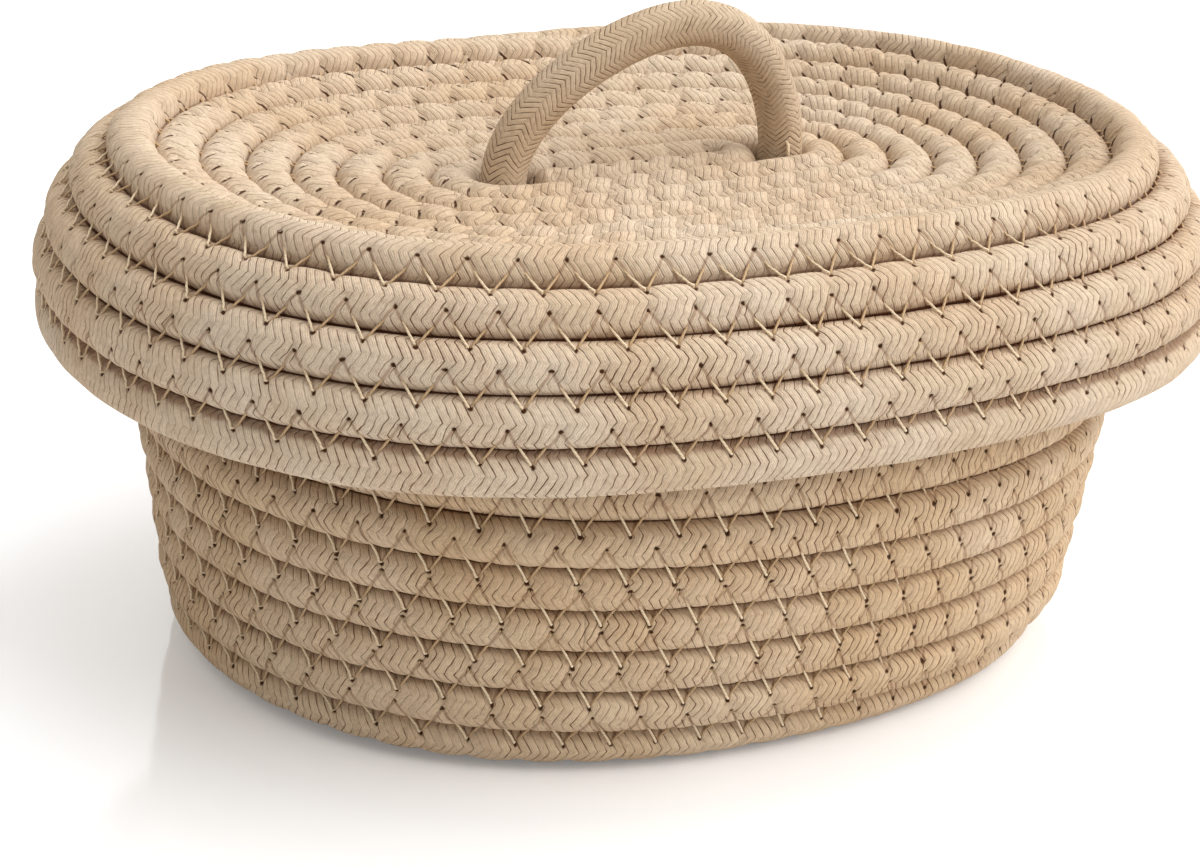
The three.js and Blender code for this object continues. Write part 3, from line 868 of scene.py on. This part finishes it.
def seam_thread(coil, name, body, face, bright_end, floor=None):
    """The zigzag thread on one face of a coil, 1 outside and -1 inside, and those beside its middle run."""
    legs, share = legs_between(1, math.floor((coil.seam_run[-1] / STITCH_LENGTH - 0.02) * 2))
    count = (legs + share) / 2
    dull = legs % 2 == 1
    # The bright legs lie sunk at the end that was pulled tight and rise towards the other.
    risen = share if bright_end == "out" else 1 - share
    turn = np.interp(count * STITCH_LENGTH, coil.seam_run, coil.seam_turn)
    near, out_near = coil.place(turn)
    far, out_far = coil.place(turn + 1)
    # The thread is drawn in on the panel, and drawn tighter towards the right end.
    tight = np.clip((near[:, 0] - coil.tight_from) / TIGHTENING, 0, TIGHTEST)
    sunk = np.maximum(np.clip((coil.panel_turns - turn) * PANEL_EDGE, 0, 1), tight)
    out = out_near + out_far
    lay_thread(coil, name, body, face, near, far, out, coil.leg_across(count), dull, risen, sunk, floor)

    first = math.ceil((RUN_UNSEWN - coil.middle / STITCH_LENGTH) * 2)
    legs, share = legs_between(first, math.floor(coil.turn_x / STITCH_LENGTH * 2))
    count = (legs + share) / 2
    dull = legs % 2 == 1
    x = coil.mirror * count * STITCH_LENGTH
    level = np.full(len(x), coil.lift)
    middle = np.stack([x, np.full(len(x), coil.middle_run), level], -1)
    out = np.tile([0.0, 0.0, -coil.facing], (len(x), 1))
    sunk = np.ones(len(x))
    front_across = coil.leg_across(count)
    back_across = coil.reach_out * (2 * np.abs(2 * (count % 1) - 1) - 1)
    for side, y, across in (("front", coil.front_run, front_across), ("back", coil.back_run, back_across)):
        straight = np.stack([x, np.full(len(x), y), level], -1)
        piece = f"{name}_{side}"
        lay_thread(coil, piece, body, face, middle, straight, out, across, dull, share, sunk, floor)


seam_thread(basket_coil, "basket_seam_thread", "basket", face=1, bright_end="in", floor=0)
seam_thread(basket_coil, "basket_inner_thread", "basket", face=-1, bright_end="in")


# Lid rope
# The same rope, wound from a straight run between the handle's legs: a dished panel, one raised
# ridge, a rounded shoulder and a skirt that flares over the basket's wall.

LID_HEIGHT = 0.114341
LID_STRETCH = 0.0378
LID_BULGE = 0.055
LID_REACH = (0.46, 0.25)
PANEL_TURNS = 7.0
HANDLE_RADIUS = 0.0055
SLOT_CLEARANCE = 0.0006

# A paler, greyer copy of the basket's cotton: painted light, for the lid as lit from above.
lid_cotton_lit_copy = rope_finish(
    "lid_cotton_lit_copy",
    pale=linear(231, 212, 188),
    warm=linear(221, 195, 164),
    deep=SHADE_AND_MOTTLE_BROWN,
    groove_shade=0.85,
    braid=ROPE_BRAID,
    reach=LID_REACH,
    panel_turns=PANEL_TURNS,
)
lid_coil = Coil(
    section=[
        (0, 0),
        (0.044, 0.0003),
        (0.064, 0.0028),
        (0.078, 0.0059),
        (0.0894, 0.0108),
        (0.0979, 0.0038),
        (0.1039, -0.0053),
        (0.1071, -0.0157),
        (0.107, -0.0268),
    ],
    stretches=(LID_STRETCH, LID_STRETCH),
    bulges=(LID_BULGE, LID_BULGE),
    wall_height=WALL_HEIGHT,
    fullness=0.025,
    pitch=0.0111,
    facing=-1,
    mirror=1,
    back_step=0.95,
    turns=11.62,
    lift=LID_HEIGHT,
    reach=LID_REACH,
    slot=2 * (SLOT_CLEARANCE + HANDLE_RADIUS),
    panel_turns=PANEL_TURNS,
    tight_from=0.035,
)
sewn_rope(lid_coil, "lid_rope", "lid", "lid_rope_coil", lid_cotton_lit_copy)


# Lid seam thread
# The same cream thread in the same zigzag on both faces of the lid, drawn in deep on the panel.

seam_thread(lid_coil, "lid_seam_thread", "lid", face=1, bright_end="out")
seam_thread(lid_coil, "lid_inner_thread", "lid", face=-1, bright_end="out")


# Handle
# One short length of smoother braided rope, bent into an arch. Its legs go down through two slots
# beside the lid's middle run, and its ends fold inwards under the panel.

LEG_X = LID_STRETCH + lid_coil.first - CAD_RADIUS - SLOT_CLEARANCE - HANDLE_RADIUS
LEG_SHARE = 2 / 3
LEG_Y = lid_coil.middle_run * LEG_SHARE
FOOT_RISE = 0.003
ARCH_FOOT = LID_HEIGHT + FOOT_RISE
ARCH_RISE = 0.0365
ARCH_LEAN = 0.010
LEAN_SKEW = 0.4
TOUCH_GAP = 0.0003
TAIL_HEIGHT = LID_HEIGHT - CAD_RADIUS - TOUCH_GAP - HANDLE_RADIUS
TAIL_BEND = 0.0062
TAIL_LENGTH = 0.020
HANDLE_SKIN = 0.0057
HANDLE_SIDES = 40
HANDLE_STEP = 0.0006
TAIL_POINTS = 14
ARCH_POINTS = 120
HANDLE_BRAID = (10, 0.0015, 1.7)

tail_turn = np.linspace(0, np.pi / 2, TAIL_POINTS)
tail_middle = LEG_X - TAIL_BEND
foot_x = np.concatenate([[tail_middle - TAIL_LENGTH], tail_middle + TAIL_BEND * np.sin(tail_turn), [LEG_X]])
foot_z = np.concatenate([[TAIL_HEIGHT], TAIL_HEIGHT + TAIL_BEND * (1 - np.cos(tail_turn)), [ARCH_FOOT]])
arch_turn = np.linspace(0, np.pi, ARCH_POINTS)[1:-1]
arch_lean = ARCH_LEAN * np.sin(arch_turn) ** 2 * (1 - LEAN_SKEW * np.cos(arch_turn))
handle_x = np.concatenate([foot_x, LEG_X * np.cos(arch_turn) + arch_lean, -foot_x[::-1]])
handle_z = np.concatenate([foot_z, ARCH_FOOT + ARCH_RISE * np.sin(arch_turn), foot_z[::-1]])
handle_line = np.stack([handle_x, np.full(len(handle_x), LEG_Y), handle_z], -1)
handle_reach = reach_along(handle_line)
handle_run = np.linspace(0, handle_reach[-1], int(handle_reach[-1] / HANDLE_STEP))
handle_path = read_along(handle_run, handle_reach, handle_line)
handle_outs = np.tile([0.0, -1.0, 0.0], (len(handle_run), 1))
handle_fullness = rounded_end(np.minimum(handle_run, handle_run[-1] - handle_run))
handle_radii = HANDLE_SKIN * handle_fullness * np.ones((1, HANDLE_SIDES))
handle = tube("handle_rope", handle_path, handle_outs, handle_radii, handle_run)
# Its deep brown is the painted shade in the braid's grooves and the dark end of its mottle.
handle_cotton = rope_finish(
    "handle_cotton",
    pale=linear(232, 210, 184),
    warm=linear(221, 195, 163),
    deep=linear(100, 58, 24),
    groove_shade=1.7,
    braid=HANDLE_BRAID,
)
handle.data.materials.append(handle_cotton)
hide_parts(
    "handle_arch", "handle_root_left", "handle_root_right", "handle_tail_left", "handle_tail_right"
)
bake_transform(handle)


# Foot tack
# A short end of the seam thread that holds the handle's right leg in its slot and stands up
# beside it in front.

TACK_RADIUS = 0.0004
TACK_STEP = 0.002
TACK_INWARDS = 0.0016
TACK_X = LEG_X - TACK_INWARDS

tack_line = np.array(
    [
        (TACK_X, LEG_Y - 0.0062, LID_HEIGHT + 0.0036),
        (TACK_X, LEG_Y - 0.0066, LID_HEIGHT + 0.0052),
        (TACK_X, LEG_Y - 0.0063, LID_HEIGHT + 0.0074),
        (TACK_X, LEG_Y - 0.0048, LID_HEIGHT + 0.0084),
    ]
)
tack_points = len(tack_line)
tack_outs = np.tile([0.0, -1.0, 0.3], (tack_points, 1))
tack_radii = np.full((tack_points, THREAD_SIDES), TACK_RADIUS)
tack_marks = {"thread_in_shade": np.zeros((tack_points, THREAD_SIDES))}
tack = tube("foot_tack", tack_line, tack_outs, tack_radii, np.arange(tack_points) * TACK_STEP, tack_marks)
tack.data.materials.append(seam_cotton)
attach(tack, "lid")
